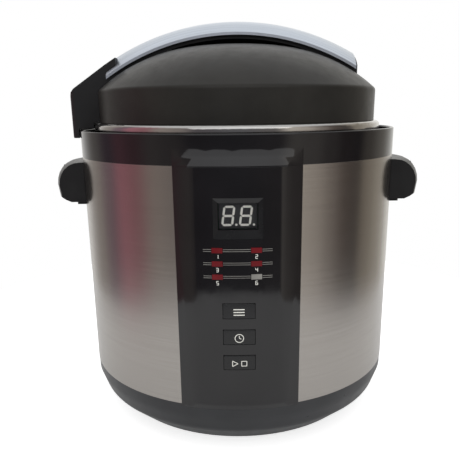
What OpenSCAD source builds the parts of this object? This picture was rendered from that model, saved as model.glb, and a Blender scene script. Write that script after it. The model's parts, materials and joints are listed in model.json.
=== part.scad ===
// Electric pressure cooker, modelled as the pieces it comes apart into.
// Origin on the table at the body's axis, +Z up, control panel towards -Y.
// Every length is in millimetres.

/* [Body] */
// Outside diameter of the steel skin and the collar
body_d = 270; // [225:1:324]
// Thickness of the brushed steel skin
skin_t = 0.8; // [0.5:0.1:1.2]
// Height of the steel skin that shows
skin_h = 181.5; // [151:0.5:218]
// Height of the rubber feet under the base
foot_h = 4; // [3:0.5:6]
// Height of the plastic base
base_h = 40; // [36:1:50]
// Height of the gloss collar above the skin
collar_h = 21.5; // [20:0.5:26]
// Wall of the base and the collar
shell_t = 2.5; // [2:0.1:3]

/* [Pots] */
// Room under the outer pot for the electrical parts, above the base's underside
works_h = 54; // [50:1:65]
// Radial room from the collar's outside to the outer pot's wall
pot_inset = 21.5; // [20:0.5:26]
// Wall of the outer pot
outer_pot_t = 2; // [1.6:0.1:2.6]
// Radial room between the outer pot and the cooking pot
pot_gap = 1.7; // [1.4:0.1:2]
// Wall of the cooking pot
pot_t = 1.2; // [1:0.1:1.6]
// Depth of the outer pot's rim below the collar's top
rim_drop = 5; // [4:0.5:6]
// Thickness of the heating plate
plate_t = 12; // [10:0.5:15]

/* [Lid] */
// Radial step from the collar's outside in to the plastic lid's wall
lid_inset = 16.7; // [15:0.1:18]
// How far the steel ring spreads past the plastic wall
ring_flare = 4.7; // [4:0.1:5.5]
// Thickness of the steel lid
lid_t = 1.4; // [1.2:0.1:1.6]
// Height of the sealing ring
seal_h = 6.9; // [6:0.1:8]
// Height of the lid's upright plastic wall
lid_wall_h = 25.4; // [22:0.2:31]
// Rise of the dome above that wall
dome_h = 35.4; // [29.6:0.1:42.4]
// Radius of the flat in the middle of the dome
dome_flat_r = 25; // [20:1:30]
// Wall of the plastic lid
cover_t = 2.6; // [2.2:0.1:3]

/* [Lid handle] */
// Height of the handle's crown above the dome
handle_h = 20.2; // [19:0.2:26]
// Half the width of the metal plate
plate_half_w = 25.5; // [22:0.5:28]
// Half the width of the plastic grip under it
grip_half_w = 21.5; // [18:0.5:22]
// Radius of the plate's arch, seen from the front
arch_r = 205; // [180:1:246]
// Radius of the plate's crown, seen from the side
crown_r = 36; // [33:1:43]
// Length of the handle right of the middle
handle_right = 99; // [88:1:104]
// Length of the metal plate left of the middle
handle_left = 108; // [100:1:112]
// Half the length of the finger gap
finger_half = 57; // [50:1:62]

/* [Side handles] */
// How far a side handle stands out from the body
side_reach = 24.5; // [22:0.5:29]
// Half the length of a side handle
side_half = 42; // [36:1:50]
// Height of a side handle
side_h = 33; // [30:1:38]
// Distance of its top below the collar's lower edge
side_drop = 4.5; // [3:0.5:8]

/* [Control panel] */
// Half the width of the panel at its foot
panel_half = 45; // [42:0.5:52]
// Width of each sloping side of the panel
panel_bevel = 11.5; // [9:0.5:13]
// Height of the sloping end at the top and at the bottom
panel_slope_h = 7.5; // [6:0.5:9]
// Height of the slope that carries the panel's top edge up the collar
crest_h = 12; // [10:0.5:14]
// How far the panel's face stands out from the skin
panel_proud = 4.2; // [3.5:0.1:5]
// Half the width of a button
button_half = 11.5; // [9.6:0.1:13.8]
// Height of a button
button_h = 11.3; // [9.4:0.1:13]
// Distance between one button and the next
button_pitch = 20; // [17:0.5:22]
// Height of the middle button above the panel's foot
button_z = 61; // [50:0.5:66]
// Travel of a button
button_travel = 1.2; // [0.8:0.1:1.6]
// Half the width of the display window
window_half = 13.9; // [12:0.1:16]
// Height of the display window
window_h = 18.6; // [15.5:0.1:22]

/* [Rear fittings] */
// Half the width of the drip cup
cup_half = 24; // [20:0.5:29]
// Height of the drip cup
cup_h = 58; // [48:1:70]
// Depth of the drip cup, front to back
cup_depth = 24; // [20:1:29]

/* [Clearances] */
// Gap between pieces that move past each other
gap = 0.3; // [0.25:0.05:0.4]
// Gap between pieces fixed together
seat = 0.1; // [0.05:0.05:0.15]
// Radial gap of a shaft in its hole
run = 0.07; // [0.03:0.01:0.1]

/* [Hidden] */
$fn = 120;
tiny = 0.01;
far = 500;

// Radii of the body, from the outside in
body_r = body_d / 2;
skin_in_r = body_r - skin_t;
collar_in_r = body_r - shell_t;
lid_r = body_r - lid_inset;
ring_r = lid_r + ring_flare;
skirt_in_r = ring_r - lid_t;
pot_wall_r = body_r - pot_inset;
outer_pot_in_r = pot_wall_r - outer_pot_t;
pot_r = outer_pot_in_r - pot_gap;
pot_in_r = pot_r - pot_t;
lug_reach_r = skirt_in_r - 1.3;
lid_lug_in_r = pot_wall_r + 2.3;
shield_r = body_r - 10.4;
shield_t = 0.6;

// Heights, from the table up
base_top_z = foot_h + base_h;
skin_top_z = base_top_z + skin_h;
collar_top_z = skin_top_z + collar_h;
pot_floor_z = foot_h + works_h;
rim_z = collar_top_z - rim_drop;
pot_rim_z = rim_z + gap;
seal_z = pot_rim_z + pot_t + gap;
steel_under_z = seal_z + seal_h + gap;
steel_top_z = steel_under_z + lid_t;
shoulder_z = steel_top_z + lid_wall_h;
dome_top_z = shoulder_z + dome_h;
crown_z = dome_top_z + handle_h;

// Bayonet: lugs out from the outer pot, lugs in from the lid's skirt
lugs = 6;
lug_step = 360 / lugs;
pot_lug_deg = 28;
lid_lug_deg = 26;
lug_t = 2;
lug_space = 2;
pot_lug_z = rim_z - lug_t;
lid_lug_z = pot_lug_z - lug_space - lug_t;
skirt_z = lid_lug_z - 1;

// Trough inside the collar
flange_t = 1.4;
gasket_t = 1;
flange_z = skirt_z - 1 - flange_t;
trough_z = flange_z - gasket_t;
trough_t = 2;
flange_r = ring_r - 2;
ledge_r = pot_wall_r + 1;
collar_lip_r = 1.2;

// Heating plate and the sensor through its middle
plate_top_z = pot_floor_z + outer_pot_t + 22;
plate_z = plate_top_z - plate_t;
plate_r = 90;
plate_hole_r = 14;
element_r = 62;
element_tube_r = 4;
pot_base_z = plate_top_z + gap;
sensor_r = 12.5;
sensor_cap_h = 6;
sensor_stem_r = 4;
bracket_t = 1.5;
bracket_z = pot_floor_z + outer_pot_t;
floor_hole_r = 18;
terminal_r = 3;
terminal_deg = 14;
switch_x = -50.5;
switch_y = -18;

// Dome of the lid: a flat in the middle, then one arc down to the wall
dome_run = lid_r - dome_flat_r;
dome_arc_r = (dome_run * dome_run + dome_h * dome_h) / (2 * dome_h);

// Steel lid: flat ring at the rim, raised flat in the middle
roll_r = 3.5;
raise_h = 17.6;
raise_in_r = 74;
raise_out_r = 98;
raised_top_z = steel_top_z + raise_h;
raised_under_z = raised_top_z - lid_t;

// Fittings on the lid, behind the handle
valve_y = 62;
well_r = 16;
well_floor_z = raised_top_z + 18;
pipe_r = 4;
pipe_bore_r = 2;
knob_r = 12;
knob_h = 24;
float_x = -30;
float_y = 58;
float_r = 2;
float_cap_r = 3.6;
float_rise = 5;
float_hole_r = 5;
cover_post_r = 5;
cover_post_ring = 50;
post_r = 3;
post_head_r = 4.4;
grommet_r = 7;
plate_rim_r = pot_in_r + 1.4;
seal_in_r = pot_in_r - 2.1;
seal_out_r = pot_wall_r + 3.5;
inner_plate_t = 1.5;
inner_plate_z = seal_z + 3.2;

// Lid handle
plate_metal_t = 1.5;
grip_t = 4.6;
hook_half_w = 23;
hook_out = 5.8;
hook_in = 1.8;
hook_z = collar_top_z - 7;
hook_under_z = steel_top_z + 0.6;
hook_over_z = collar_top_z + 0.8;
grip_end = 1.6;
leg_screw_x = 76;
leg_screw_y = 12;

// Push rod inside the lid, at the handle's hooked end
rod_r = 2;
rod_y = 12;
rod_z = steel_top_z + 10;
rod_len = 30;
rod_out_x = -(lid_r + 3);
rod_stop_r = 3.6;
guide_x = rod_out_x + 17;
guide_t = 4;
rod_stop_x = 8;
rod_stop_t = 1.4;
spring_len = guide_x - rod_out_x - rod_stop_x - rod_stop_t;

// Screws
screw_r = 1.5;
screw_head_r = 3.1;
screw_head_t = 1.4;
tap_r = 2;

// Base
base_flange_t = 2.4;
cover_plate_t = 2.2;
cover_plate_r = body_r - 28;
base_foot_r = body_r - 21.5;
base_waist_r = body_r - 4.3;
base_waist_z = foot_h + 19;
base_edge_r = 4;
base_waist_round = 12;
base_top_r = body_r - 0.4;
base_screw_ring = cover_plate_r - 4;
base_screw_turn = 20;
base_screw_z = foot_h + 16;
base_boss_z = base_screw_z + 2;
foot_r = 10;
foot_ring = 84;
rebate_h = 6;
rebate_t = 2;

// Power inlet, on a flat at the back of the base
inlet_half = 12;
inlet_low_z = base_top_z - 20.5;
inlet_high_z = base_top_z - 4;
inlet_rim = 3;
inlet_face_y = body_r - 4;
inlet_depth = 18;
inlet_wall = 2;
flange_out_t = 1.5;
pin_len = 8;

// Control panel
panel_in_r = body_r + seat;
panel_edge_r = body_r + 0.5;
panel_face_r = body_r + panel_proud;
panel_z = base_top_z - 1.5;
panel_top_z = skin_top_z;
recess_half = window_half + 3.6;
recess_under = 6.6;
recess_over = 3.7;
recess_depth = 1.6;
window_z = panel_top_z - 43;
lens_t = 1.2;
board_y = -(body_r - 7.5);
board_t = 1.6;
board_half = 23;
board_z = panel_z + 25;
board_top_z = panel_top_z - 14;
wire_window_half = 20;
flange_lip = 1.5;
button_flange_t = 1.4;
switch_t = 2.4;
plunger_t = 0.4;
button_back_y = board_y - switch_t - plunger_t - button_travel - gap;
lamp_w = 7.6;
lamp_h = 3.8;
lamp_left_x = -18.7;
lamp_right_x = 8.9;
lamp_row = 9.6;
lamp_z = window_z - 16.2;
lamp_proud = 0.2;
digit_proud = 0.3;
digit_w = 8.2;
digit_h = 14.2;
digit_bar = 1.5;
digit_pitch = 12.2;
digit_lean = 8;
module_face_y = -(body_r - 0.6);

// Side handles
side_top_z = skin_top_z - side_drop;
side_low_z = side_top_z - side_h;
side_wall = 5;
side_screw_y = 22;
side_screw_z = side_top_z - 8;
side_boss_r = 5;
side_bow = 9.5;
side_bend_x = 16;
side_bend_z = 19;
side_bow_r = (side_half * side_half + side_bow * side_bow) / (2 * side_bow);

// Drip cup at the back
cup_top_z = skin_top_z - 3.5;
cup_wall = 1.6;
bracket_plate_t = 2;
cup_front_y = body_r + bracket_plate_t + gap;
spout_half = 8;
spout_reach = 14;
spout_h = 9;
spout_z = trough_z - trough_t - 1;
peg_r = 3;
peg_len = 5;
peg_x = 14;

// ---------- shared shapes ----------

module ring(r_out, r_in, z0, z1) {
    translate([0, 0, z0]) difference() {
        cylinder(r = r_out, h = z1 - z0);
        translate([0, 0, -1]) cylinder(r = r_in, h = z1 - z0 + 2);
    }
}

module disc(r, z0, z1) {
    translate([0, 0, z0]) cylinder(r = r, h = z1 - z0);
}

module box(x0, x1, y0, y1, z0, z1) {
    translate([x0, y0, z0]) cube([x1 - x0, y1 - y0, z1 - z0]);
}

// A flat outline drawn in X and Z, extruded along Y between two values
module along_y(y0, y1) {
    translate([0, y1, 0]) rotate([90, 0, 0]) linear_extrude(y1 - y0) children();
}

// A rectangle with round corners, centred on the origin
module round_rect(w, h, r) {
    square([w - 2 * r, h], center = true);
    square([w, h - 2 * r], center = true);
    for (x = [-1, 1], y = [-1, 1])
        translate([x * (w / 2 - r), y * (h / 2 - r)]) circle(r);
}

// A wedge of the given angle either side of +X
module wedge(half_deg, r, z0, z1) {
    reach = 2 * r;
    side = reach * tan(half_deg);
    translate([0, 0, z0]) linear_extrude(z1 - z0)
        polygon([[0, 0], [reach, -side], [reach, side]]);
}

// Lugs evenly round a circle, each a piece of a flat ring
module lug_ring(r_out, r_in, z0, z1, width_deg, turn) {
    for (i = [0 : lugs - 1])
        rotate([0, 0, turn + i * lug_step]) intersection() {
            ring(r_out, r_in, z0, z1);
            wedge(width_deg / 2, r_out, z0 - 1, z1 + 1);
        }
}

// Points along an arc in X and Z, from one angle to another
function arc(x, z, r, from, to, steps) = [
    for (i = [0 : steps]) let (a = from + (to - from) * i / steps)
        [x + r * cos(a), z + r * sin(a)]
];

module at_ring(count, r, turn) {
    for (i = [0 : count - 1])
        rotate([0, 0, turn + i * 360 / count]) translate([r, 0, 0]) children();
}

// ---------- base ----------

// Section of the base: round foot, straight slope, round waist, near-upright top
module base_section(inset, z0, z1) {
    slope = atan2(base_waist_z - foot_h, base_waist_r - base_foot_r);
    foot_x = base_foot_r - base_edge_r;
    waist_x = base_waist_r - base_waist_round;
    waist_lean = 17;
    polygon(concat(
        [[0, z0], [foot_x, z0]],
        arc(foot_x, foot_h + base_edge_r, base_edge_r - inset, -90, slope - 90, 4),
        arc(waist_x, base_waist_z + base_waist_round / 3, base_waist_round - inset, slope - 90, -waist_lean, 6),
        [[base_top_r - inset, base_top_z - 8], [base_top_r - inset, z1], [0, z1]]
    ));
}

module base_shell() {
    flange_z0 = foot_h + cover_plate_t + seat;
    color("#3b3c3f") difference() {
        union() {
            difference() {
                rotate_extrude() base_section(0, foot_h, base_top_z);
                rotate_extrude() base_section(shell_t, flange_z0 + base_flange_t, base_top_z + 1);
            }
            ring(skin_in_r - seat, skin_in_r - seat - rebate_t, base_top_z - 3, base_top_z + rebate_h);
            at_ring(4, base_screw_ring, base_screw_turn) disc(4.5, flange_z0, base_boss_z);
        }
        disc(base_screw_ring - 6, foot_h - 1, base_top_z);
        disc(cover_plate_r + seat, foot_h - 1, flange_z0);
        at_ring(4, base_screw_ring, base_screw_turn)
            disc(screw_r, foot_h - 1, base_screw_z);
        box(-inlet_half - inlet_rim - seat, inlet_half + inlet_rim + seat,
            inlet_face_y, body_r + 5, inlet_low_z - inlet_rim - seat, inlet_high_z + inlet_rim + seat);
        box(-inlet_half - inlet_wall - seat, inlet_half + inlet_wall + seat,
            inlet_face_y - 20, body_r, inlet_low_z - inlet_wall - seat, inlet_high_z + inlet_wall + seat);
    }
}

module base_cover() {
    slot_w = 3;
    slot_len = 52;
    slot_pitch = 8;
    color("#2f3032") difference() {
        union() {
            disc(cover_plate_r, foot_h, foot_h + cover_plate_t);
            for (x = [-1, 1], y = [-1, 1])
                translate([x * 38, y * 24, 0]) disc(3, foot_h, foot_h + 10);
        }
        for (i = [-4 : 4])
            translate([0, i * slot_pitch, foot_h - 1]) linear_extrude(cover_plate_t + 2)
                square([slot_len, slot_w], center = true);
        at_ring(4, foot_ring, 45) disc(3 + seat, foot_h - 1, foot_h + 5);
        at_ring(4, base_screw_ring, base_screw_turn) {
            disc(screw_r + seat, foot_h - 1, foot_h + 5);
            disc(screw_head_r + seat, foot_h - 1, foot_h + screw_head_t);
        }
    }
}

module rubber_feet() {
    color("#1c1c1d") at_ring(4, foot_ring, 45) {
        rotate_extrude() polygon([
            [0, 0], [foot_r - 1, 0], [foot_r, 1], [foot_r - 0.6, foot_h], [0, foot_h]
        ]);
        disc(3, foot_h - 1, foot_h + cover_plate_t + 2);
    }
}

module base_screws() {
    color("silver") at_ring(4, base_screw_ring, base_screw_turn) difference() {
        union() {
            disc(screw_head_r, foot_h, foot_h + screw_head_t);
            disc(screw_r, foot_h + screw_head_t - tiny, base_screw_z - gap);
        }
        box(-2, 2, -0.4, 0.4, foot_h - 1, foot_h + 0.7);
        box(-0.4, 0.4, -2, 2, foot_h - 1, foot_h + 0.7);
    }
}

module power_inlet() {
    mid_z = (inlet_low_z + inlet_high_z) / 2;
    face = inlet_face_y + flange_out_t;
    color("#18191a") difference() {
        union() {
            box(-inlet_half - inlet_rim, inlet_half + inlet_rim, inlet_face_y, face,
                inlet_low_z - inlet_rim, inlet_high_z + inlet_rim);
            box(-inlet_half - inlet_wall, inlet_half + inlet_wall, inlet_face_y - inlet_depth,
                inlet_face_y + tiny, inlet_low_z - inlet_wall, inlet_high_z + inlet_wall);
        }
        along_y(inlet_face_y - inlet_depth + inlet_wall, face + 1) polygon([
            [-inlet_half, inlet_low_z], [inlet_half, inlet_low_z],
            [inlet_half, mid_z + 3], [inlet_half - 5, inlet_high_z],
            [-inlet_half + 5, inlet_high_z], [-inlet_half, mid_z + 3]
        ]);
        for (p = pin_places())
            translate([p[0], 0, p[1]])
                box(-1 - seat, 1 + seat, inlet_face_y - inlet_depth - 1, inlet_face_y - inlet_depth + 4,
                    -2 - seat, 2 + seat);
    }
}

function pin_places() = let (mid = (inlet_low_z + inlet_high_z) / 2)
    [[-6, mid - 2], [6, mid - 2], [0, mid + 2.5]];

module inlet_pins() {
    y0 = inlet_face_y - inlet_depth;
    color("gold") for (p = pin_places())
        translate([p[0], 0, p[1]]) box(-1, 1, y0 - 5, y0 + inlet_wall + pin_len - 2, -2, 2);
}

module power_board() {
    z0 = foot_h + 10;
    z1 = z0 + board_t;
    color("#2f6b3c") box(-46, 46, -32, 32, z0, z1);
    color("#23262a") {
        box(16, 34, 4, 20, z1, z1 + 15);
        box(-40, -28, -26, -16, z1, z1 + 9);
        translate([30, -16, 0]) disc(6, z1, z1 + 18);
        translate([10, -20, 0]) disc(4, z1, z1 + 12);
        box(-6, 6, 22, 30, z1, z1 + 8);
    }
}

module transformer() {
    z1 = foot_h + 10 + board_t;
    color("#c9a24a") {
        box(-32, -6, -8, 16, z1, z1 + 4);
        box(-28, -10, -4, 12, z1 + 4, z1 + 18);
        box(-32, -6, -8, 16, z1 + 18, z1 + 22);
    }
}

// ---------- body ----------

module steel_skin() {
    color("#a9a29a") difference() {
        ring(body_r, skin_in_r, base_top_z, skin_top_z);
        box(-wire_window_half, wire_window_half, -body_r - 1, 0, panel_z + 20, panel_top_z - 12);
        for (x = [-1, 1], y = [-1, 1])
            translate([x * body_r, y * side_screw_y, side_screw_z]) rotate([0, 90, 0])
                cylinder(r = tap_r + seat, h = 30, center = true);
    }
}

// Section of the wedge that the panel and its crest are cut from
module panel_plan() {
    foot_y = sqrt(panel_edge_r * panel_edge_r - panel_half * panel_half);
    face_half = panel_half - panel_bevel;
    face_y = sqrt(panel_face_r * panel_face_r - face_half * face_half);
    slope = (panel_half - face_half) / (face_y - foot_y);
    tip_half = face_half - slope * 10;
    polygon([
        [-panel_half, 10 - foot_y], [panel_half, 10 - foot_y], [panel_half, -foot_y],
        [tip_half, -face_y - 10], [-tip_half, -face_y - 10], [-panel_half, -foot_y]
    ]);
}

module collar() {
    z0 = skin_top_z;
    color("#0d0d0f") difference() {
        union() {
            rotate_extrude() polygon(concat(
                [[collar_in_r, z0], [body_r, z0]],
                arc(body_r - collar_lip_r, collar_top_z - collar_lip_r, collar_lip_r, 0, 90, 4),
                [[collar_in_r + collar_lip_r / 2, collar_top_z], [collar_in_r, collar_top_z - collar_lip_r]]
            ));
            ring(skin_in_r - seat, skin_in_r - seat - rebate_t, z0 - rebate_h, z0 + 2);
            intersection() {
                rotate_extrude() polygon([
                    [collar_in_r + 1, z0], [panel_face_r - 0.3, z0], [panel_face_r, z0 + 0.4],
                    [body_r, z0 + crest_h], [collar_in_r + 1, z0 + crest_h]
                ]);
                translate([0, 0, z0 - 1]) linear_extrude(crest_h + 2) panel_plan();
            }
        }
        box(-spout_half - seat, spout_half + seat, 0, body_r + 1,
            spout_z - seat, spout_z + spout_h + seat);
    }
}

module trough_ring() {
    out_y = body_r + spout_reach;
    color("#141416") difference() {
        union() {
            ring(collar_in_r - seat, ledge_r, trough_z - trough_t, trough_z);
            box(-spout_half, spout_half, collar_in_r - 3, out_y, spout_z, spout_z + spout_h);
        }
        box(-spout_half + trough_t, spout_half - trough_t, collar_in_r - 4, out_y - trough_t,
            trough_z, spout_z + spout_h - trough_t);
        box(-3, 3, out_y - 8, out_y - trough_t, spout_z - 1, trough_z + 1);
    }
}

module collar_gasket() {
    color("#9b9b96") ring(flange_r, ledge_r, trough_z, trough_z + gasket_t);
}

module heat_shield() {
    color("silver")
        ring(shield_r, shield_r - shield_t, pot_floor_z - 8, trough_z - trough_t);
}

module outer_pot() {
    color("#b9babc") difference() {
        union() {
            ring(pot_wall_r, outer_pot_in_r, pot_floor_z, rim_z);
            disc(pot_wall_r, pot_floor_z, pot_floor_z + outer_pot_t);
            ring(flange_r, outer_pot_in_r, flange_z, flange_z + flange_t);
            lug_ring(lug_reach_r, outer_pot_in_r + 1, pot_lug_z, rim_z, pot_lug_deg, lug_step / 2);
        }
        disc(floor_hole_r, pot_floor_z - 1, pot_floor_z + 5);
        for (a = [-terminal_deg, terminal_deg])
            rotate([0, 0, a]) translate([element_r, 0, 0])
                disc(terminal_r + 3, pot_floor_z - 1, pot_floor_z + 5);
    }
}

module heating_plate() {
    color("#b7b9bc") difference() {
        union() {
            rotate_extrude() polygon([
                [plate_hole_r, plate_z], [plate_r - 5, plate_z], [plate_r, plate_z + 4],
                [plate_r, plate_top_z - 1], [plate_r - 1, plate_top_z], [plate_hole_r, plate_top_z]
            ]);
            at_ring(3, plate_r - 12, 60) disc(5, bracket_z, plate_z + 1);
        }
        rotate_extrude() translate([element_r, plate_z]) circle(element_tube_r + seat);
    }
}

module heating_element() {
    color("#6f6a66") {
        rotate([0, 0, terminal_deg]) rotate_extrude(angle = 360 - 2 * terminal_deg)
            translate([element_r, plate_z]) circle(element_tube_r);
        for (a = [-terminal_deg, terminal_deg])
            rotate([0, 0, a]) translate([element_r, 0, 0])
                disc(terminal_r, pot_floor_z - 6, plate_z);
    }
}

module thermal_fuse() {
    color("#d8d4c8") translate([0, -element_r - 16, 0]) {
        box(-9, 9, -4, 4, bracket_z, bracket_z + 6);
        disc(1.2, bracket_z + 5, plate_z);
    }
}

module sensor_bracket() {
    color("silver") ring(floor_hole_r + 8, sensor_stem_r + run, bracket_z, bracket_z + bracket_t);
}

module sensor_spring() {
    color("#c8c8c8")
        ring(sensor_stem_r + 4, sensor_stem_r + 2.6, bracket_z + bracket_t, plate_top_z - sensor_cap_h);
}

module temperature_sensor() {
    color("#c9cacc") {
        rotate_extrude() polygon([
            [0, plate_top_z - sensor_cap_h], [sensor_r, plate_top_z - sensor_cap_h],
            [sensor_r, plate_top_z - 1], [sensor_r - 1, plate_top_z], [0, plate_top_z]
        ]);
        disc(sensor_stem_r, pot_floor_z - 4, plate_top_z - sensor_cap_h + tiny);
    }
}

module pressure_switch() {
    color("#caa06a") translate([switch_x, switch_y, 0]) {
        box(-10, 10, -5, 5, pot_floor_z - 9, pot_floor_z);
        disc(2, pot_floor_z - 13, pot_floor_z - 8);
    }
}

// ---------- control panel ----------

module panel_slot(half, z0, z1) {
    box(-half, half, -body_r - 20, -body_r + 20, z0, z1);
}

function button_low(i) = panel_z + button_z + i * button_pitch - button_h / 2;

function lamp_places() = [
    for (row = [0 : 2], x = [lamp_left_x, lamp_right_x]) [x, lamp_z - row * lamp_row]
];

module lamp_shape(p, grow) {
    box(p[0] - grow, p[0] + lamp_w + grow, -body_r - 20, -body_r + 20,
        p[1] - grow, p[1] + lamp_h + grow);
}

module control_panel() {
    slope = panel_slope_h;
    color("#0b0b0d") difference() {
        intersection() {
            rotate_extrude() polygon([
                [panel_in_r, panel_z], [panel_edge_r, panel_z],
                [panel_face_r, panel_z + slope], [panel_face_r, panel_top_z - 0.4],
                [panel_face_r - 0.3, panel_top_z - seat], [panel_in_r, panel_top_z - seat]
            ]);
            translate([0, 0, panel_z - 1]) linear_extrude(far) panel_plan();
        }
        panel_slot(window_half, window_z, window_z + window_h);
        difference() {
            panel_slot(recess_half, window_z - recess_under, window_z + window_h + recess_over);
            disc(panel_face_r - recess_depth, 0, far);
        }
        for (i = [-1 : 1])
            panel_slot(button_half + gap, button_low(i) - gap, button_low(i) + button_h + gap);
        for (p = lamp_places()) lamp_shape(p, seat);
    }
}

module control_board() {
    color("#2f6b3c") box(-board_half, board_half, board_y, board_y + board_t, board_z, board_top_z);
    color("#23262a") for (i = [-1 : 1])
        translate([0, 0, button_low(i) + button_h / 2]) {
            box(-3, 3, board_y - switch_t, board_y, -3, 3);
            rotate([90, 0, 0]) translate([0, 0, switch_t - board_y]) cylinder(r = 1.7, h = plunger_t);
        }
}

module display_module() {
    color("#26272a")
        box(-window_half + 0.6, window_half - 0.6, module_face_y, board_y, window_z + 0.4, window_z + window_h - 0.4);
}

// One bar of a digit, with pointed ends
module digit_bar_shape(len) {
    half = digit_bar / 2;
    polygon([
        [-len / 2, 0], [-len / 2 + half, half], [len / 2 - half, half],
        [len / 2, 0], [len / 2 - half, -half], [-len / 2 + half, -half]
    ]);
}

module digit_outline() {
    across = digit_w - digit_bar - 0.3;
    up = digit_h / 2 - digit_bar / 2 - 0.3;
    for (z = [-1 : 1])
        translate([-tan(digit_lean) * -z * up, z * (up + 0.3)]) digit_bar_shape(across);
    for (x = [-1, 1], z = [-1, 1])
        translate([x * (across / 2 + 0.2) + tan(digit_lean) * z * up / 2, z * (up + 0.3) / 2])
            rotate([0, 0, 90 - digit_lean]) digit_bar_shape(up);
    translate([digit_w / 2 + 1.4, -up - 0.2]) circle(0.8);
}

module display_digits() {
    mid = window_z + window_h / 2;
    color("#ecebe2") for (x = [-1, 1])
        translate([x * digit_pitch / 2 - 0.6, 0, mid])
            along_y(module_face_y - digit_proud, module_face_y) digit_outline();
}

module display_lens() {
    lens_r = panel_face_r - recess_depth;
    color([0.2, 0.2, 0.22, 0.5]) intersection() {
        ring(lens_r, lens_r - lens_t, window_z + seat, window_z + window_h - seat);
        panel_slot(window_half - seat, 0, far);
    }
}

module lamp_solid(p) {
    intersection() {
        lamp_shape(p, 0);
        difference() {
            disc(panel_face_r + lamp_proud, 0, far);
            box(-far, far, board_y, far, 0, far);
        }
    }
}

module red_lamps() {
    places = lamp_places();
    color("#7a1518") for (i = [0 : 4]) lamp_solid(places[i]);
}

module pale_lamp() {
    color("#8d8a84") lamp_solid(lamp_places()[5]);
}

module panel_button(i) {
    low = button_low(i);
    color("#141416") {
        intersection() {
            panel_slot(button_half, low, low + button_h);
            difference() {
                disc(panel_face_r + 0.6, 0, far);
                box(-far, far, button_back_y, far, 0, far);
            }
        }
        box(-button_half - flange_lip, button_half + flange_lip, button_back_y - button_flange_t,
            button_back_y, low - flange_lip, low + button_h + flange_lip);
    }
}

// ---------- side handles ----------

// Section of a side handle, measured out from the body and up; the inset is 0 or the wall
module side_profile(inset) {
    out = side_bow_r - inset;
    top = side_top_z - inset * 1.6;
    low = side_low_z - inset * 5;
    bend_x = side_bend_x - inset;
    bend_z = side_bend_z - inset * 1.6;
    polygon(concat(
        [[side_bow_r - side_reach - 20, low], [side_bow_r - side_reach - 20, top],
         [out - side_reach + 8, top]],
        [for (a = [75 : -15 : 0])
            [out - bend_x * (1 - cos(a)), top - bend_z * (1 - sin(a))]],
        [[out - 1.4, low + 4], [out - 4, low + 2], [out - 8, low]]
    ));
}

// The body of a side handle: its section turned round the middle of its bow, cut to length
module side_body(inset) {
    far_low = side_low_z - 40;
    intersection() {
        translate([body_r + side_reach - side_bow_r, 0, 0]) rotate_extrude() side_profile(inset);
        translate([body_r, 0, far_low]) linear_extrude(200)
            round_rect(2 * side_reach + 12, 2 * (side_half - inset), 8);
    }
}

// Drawn on the right; the left one is turned half round
module side_handle() {
    tail_z = side_low_z - 3;
    color("#161617") difference() {
        union() {
            difference() {
                side_body(0);
                intersection() {
                    side_body(side_wall);
                    translate([body_r + 3, -far / 2, 0]) cube(far);
                }
            }
            for (y = [-1, 1])
                translate([body_r - 2, y * side_screw_y, side_screw_z]) rotate([0, 90, 0])
                    cylinder(r = side_boss_r, h = 17);
            box(body_r - 20, body_r + 3, -side_half + 8, side_half - 8, tail_z, side_low_z + 8);
        }
        disc(body_r + seat, 0, far);
        for (y = [-1, 1])
            translate([body_r - 10, y * side_screw_y, side_screw_z]) rotate([0, 90, 0])
                cylinder(r = tap_r + 0.05, h = 24);
    }
}

module side_handle_screws() {
    color("silver") for (x = [0, 180], y = [-1, 1])
        rotate([0, 0, x]) translate([skin_in_r, y * side_screw_y, side_screw_z]) {
            reach = side_screw_y + 4;
            start = sqrt(skin_in_r * skin_in_r - reach * reach) - skin_in_r - seat;
            translate([start - 2, 0, 0]) rotate([0, 90, 0]) cylinder(r = 4, h = 2);
            translate([start - tiny, 0, 0]) rotate([0, 90, 0]) cylinder(r = tap_r, h = 14);
        }
}

// ---------- rear fittings ----------

module cup_bracket() {
    z1 = cup_top_z - 4;
    z0 = z1 - 34;
    color("#161617") {
        translate([0, 0, z0]) linear_extrude(z1 - z0) difference() {
            translate([4 - cup_half, body_r - 3]) square([2 * cup_half - 8, 3 + bracket_plate_t]);
            circle(body_r + seat, $fn = 360);
        }
        for (x = [-1, 1])
            translate([x * peg_x, body_r + bracket_plate_t - 1, z1 - 10]) rotate([-90, 0, 0])
                cylinder(r = peg_r, h = peg_len + 1);
    }
}

module drip_cup() {
    y0 = cup_front_y;
    y1 = y0 + cup_depth;
    z0 = cup_top_z - cup_h;
    mid = (y0 + y1) / 2;
    peg_z = cup_top_z - 14;
    color([0.8, 0.82, 0.84, 0.6]) difference() {
        translate([0, mid, z0]) linear_extrude(cup_h) round_rect(2 * cup_half, cup_depth, 5);
        difference() {
            translate([0, mid, z0 + cup_wall]) linear_extrude(cup_h)
                round_rect(2 * (cup_half - cup_wall), cup_depth - 2 * cup_wall, 4);
            box(-cup_half, cup_half, y0, y0 + peg_len + 2, peg_z - 6, peg_z + 6);
        }
        for (x = [-1, 1])
            translate([x * peg_x, y0 - 1, peg_z]) rotate([-90, 0, 0])
                cylinder(r = peg_r + run, h = peg_len + 1.6);
    }
}

// ---------- pot and inner lid ----------

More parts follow.
